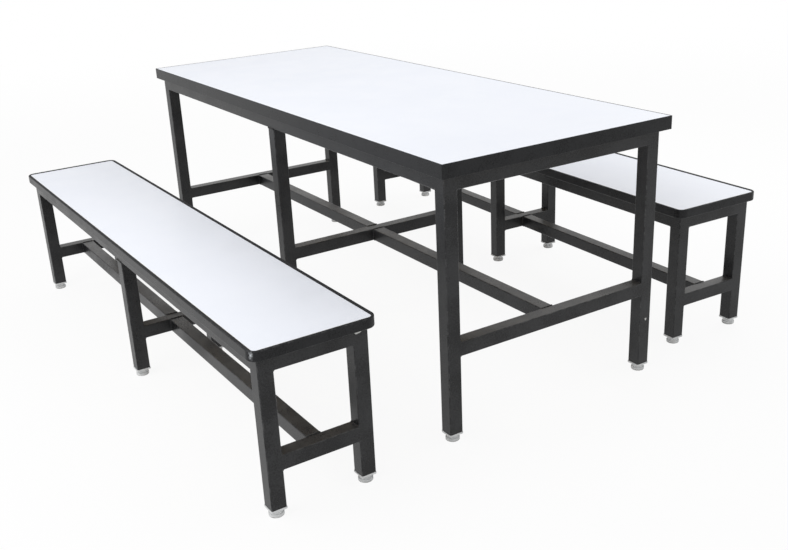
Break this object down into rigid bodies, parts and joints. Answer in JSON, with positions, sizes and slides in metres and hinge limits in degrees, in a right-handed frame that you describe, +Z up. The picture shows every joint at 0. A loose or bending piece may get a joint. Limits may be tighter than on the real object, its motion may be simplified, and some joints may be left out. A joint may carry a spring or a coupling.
{
  "type": "canteen table with two benches",
  "caption": "Rectangular canteen table and loose benches with welded square-tube frames, white laminate boards, black edging and levelling feet under the legs.",
  "frame": {"origin": "on the floor, under the middle of the box round the whole set", "axes": "+X along the table's length, towards the end nearest the viewer; +Y from the near bench to the far bench; +Z up"},
  "size_m": [2.0154, 1.8282, 0.76],
  "materials": {
    "frame_paint": "satin black paint on welded steel tube",
    "laminate": "white laminate, satin",
    "board": "raw particle board",
    "edging": "black edging, satin",
    "foot_plastic": "light grey moulded plastic"
  },
  "bodies": {
    "table": {"table_top_board": "board", "table_top_laminate": "laminate", "table_edging": "edging", "table_apron_front": "frame_paint", "table_leg_front_left": "frame_paint", "table_leg_front_middle": "frame_paint", "table_leg_front_right": "frame_paint", "table_apron_rear": "frame_paint", "table_leg_rear_left": "frame_paint", "table_leg_rear_middle": "frame_paint", "table_leg_rear_right": "frame_paint", "table_apron_left": "frame_paint", "table_apron_right": "frame_paint", "table_stretcher": "frame_paint"},
    "near_bench": {"near_bench_seat_board": "board", "near_bench_seat_laminate": "laminate", "near_bench_edging": "edging", "near_bench_apron_front": "frame_paint", "near_bench_leg_front_left": "frame_paint", "near_bench_leg_front_middle": "frame_paint", "near_bench_leg_front_right": "frame_paint", "near_bench_apron_rear": "frame_paint", "near_bench_leg_rear_left": "frame_paint", "near_bench_leg_rear_middle": "frame_paint", "near_bench_leg_rear_right": "frame_paint", "near_bench_apron_left": "frame_paint", "near_bench_apron_right": "frame_paint", "near_bench_stretcher": "frame_paint"},
    "far_bench": {"far_bench_seat_board": "board", "far_bench_seat_laminate": "laminate", "far_bench_edging": "edging", "far_bench_apron_front": "frame_paint", "far_bench_leg_front_left": "frame_paint", "far_bench_leg_front_middle": "frame_paint", "far_bench_leg_front_right": "frame_paint", "far_bench_apron_rear": "frame_paint", "far_bench_leg_rear_left": "frame_paint", "far_bench_leg_rear_middle": "frame_paint", "far_bench_leg_rear_right": "frame_paint", "far_bench_apron_left": "frame_paint", "far_bench_apron_right": "frame_paint", "far_bench_stretcher": "frame_paint"},
    "table_foot_front_left": {"table_foot_front_left": "foot_plastic"},
    "table_foot_front_middle": {"table_foot_front_middle": "foot_plastic"},
    "table_foot_front_right": {"table_foot_front_right": "foot_plastic"},
    "table_foot_rear_left": {"table_foot_rear_left": "foot_plastic"},
    "table_foot_rear_middle": {"table_foot_rear_middle": "foot_plastic"},
    "table_foot_rear_right": {"table_foot_rear_right": "foot_plastic"},
    "near_bench_foot_front_left": {"near_bench_foot_front_left": "foot_plastic"},
    "near_bench_foot_front_middle": {"near_bench_foot_front_middle": "foot_plastic"},
    "near_bench_foot_front_right": {"near_bench_foot_front_right": "foot_plastic"},
    "near_bench_foot_rear_left": {"near_bench_foot_rear_left": "foot_plastic"},
    "near_bench_foot_rear_middle": {"near_bench_foot_rear_middle": "foot_plastic"},
    "near_bench_foot_rear_right": {"near_bench_foot_rear_right": "foot_plastic"},
    "far_bench_foot_front_left": {"far_bench_foot_front_left": "foot_plastic"},
    "far_bench_foot_front_middle": {"far_bench_foot_front_middle": "foot_plastic"},
    "far_bench_foot_front_right": {"far_bench_foot_front_right": "foot_plastic"},
    "far_bench_foot_rear_left": {"far_bench_foot_rear_left": "foot_plastic"},
    "far_bench_foot_rear_middle": {"far_bench_foot_rear_middle": "foot_plastic"},
    "far_bench_foot_rear_right": {"far_bench_foot_rear_right": "foot_plastic"}
  },
  "joints": [
    {"name": "near_bench_push", "type": "slide", "parent": "table", "child": "near_bench", "axis": [0, -1, 0], "range_m": [-0.21, 0.3]},
    {"name": "far_bench_push", "type": "slide", "parent": "table", "child": "far_bench", "axis": [0, 1, 0], "range_m": [-0.145, 0.3]},
    {"name": "table_foot_front_left_screw", "type": "slide", "parent": "table", "child": "table_foot_front_left", "axis": [0, 0, -1], "range_m": [0, 0.015]},
    {"name": "table_foot_front_middle_screw", "type": "slide", "parent": "table", "child": "table_foot_front_middle", "axis": [0, 0, -1], "range_m": [0, 0.015]},
    {"name": "table_foot_front_right_screw", "type": "slide", "parent": "table", "child": "table_foot_front_right", "axis": [0, 0, -1], "range_m": [0, 0.015]},
    {"name": "table_foot_rear_left_screw", "type": "slide", "parent": "table", "child": "table_foot_rear_left", "axis": [0, 0, -1], "range_m": [0, 0.015]},
    {"name": "table_foot_rear_middle_screw", "type": "slide", "parent": "table", "child": "table_foot_rear_middle", "axis": [0, 0, -1], "range_m": [0, 0.015]},
    {"name": "table_foot_rear_right_screw", "type": "slide", "parent": "table", "child": "table_foot_rear_right", "axis": [0, 0, -1], "range_m": [0, 0.015]},
    {"name": "near_bench_foot_front_left_screw", "type": "slide", "parent": "near_bench", "child": "near_bench_foot_front_left", "axis": [0, 0, -1], "range_m": [0, 0.015]},
    {"name": "near_bench_foot_front_middle_screw", "type": "slide", "parent": "near_bench", "child": "near_bench_foot_front_middle", "axis": [0, 0, -1], "range_m": [0, 0.015]},
    {"name": "near_bench_foot_front_right_screw", "type": "slide", "parent": "near_bench", "child": "near_bench_foot_front_right", "axis": [0, 0, -1], "range_m": [0, 0.015]},
    {"name": "near_bench_foot_rear_left_screw", "type": "slide", "parent": "near_bench", "child": "near_bench_foot_rear_left", "axis": [0, 0, -1], "range_m": [0, 0.015]},
    {"name": "near_bench_foot_rear_middle_screw", "type": "slide", "parent": "near_bench", "child": "near_bench_foot_rear_middle", "axis": [0, 0, -1], "range_m": [0, 0.015]},
    {"name": "near_bench_foot_rear_right_screw", "type": "slide", "parent": "near_bench", "child": "near_bench_foot_rear_right", "axis": [0, 0, -1], "range_m": [0, 0.015]},
    {"name": "far_bench_foot_front_left_screw", "type": "slide", "parent": "far_bench", "child": "far_bench_foot_front_left", "axis": [0, 0, -1], "range_m": [0, 0.015]},
    {"name": "far_bench_foot_front_middle_screw", "type": "slide", "parent": "far_bench", "child": "far_bench_foot_front_middle", "axis": [0, 0, -1], "range_m": [0, 0.015]},
    {"name": "far_bench_foot_front_right_screw", "type": "slide", "parent": "far_bench", "child": "far_bench_foot_front_right", "axis": [0, 0, -1], "range_m": [0, 0.015]},
    {"name": "far_bench_foot_rear_left_screw", "type": "slide", "parent": "far_bench", "child": "far_bench_foot_rear_left", "axis": [0, 0, -1], "range_m": [0, 0.015]},
    {"name": "far_bench_foot_rear_middle_screw", "type": "slide", "parent": "far_bench", "child": "far_bench_foot_rear_middle", "axis": [0, 0, -1], "range_m": [0, 0.015]},
    {"name": "far_bench_foot_rear_right_screw", "type": "slide", "parent": "far_bench", "child": "far_bench_foot_rear_right", "axis": [0, 0, -1], "range_m": [0, 0.015]}
  ]
}
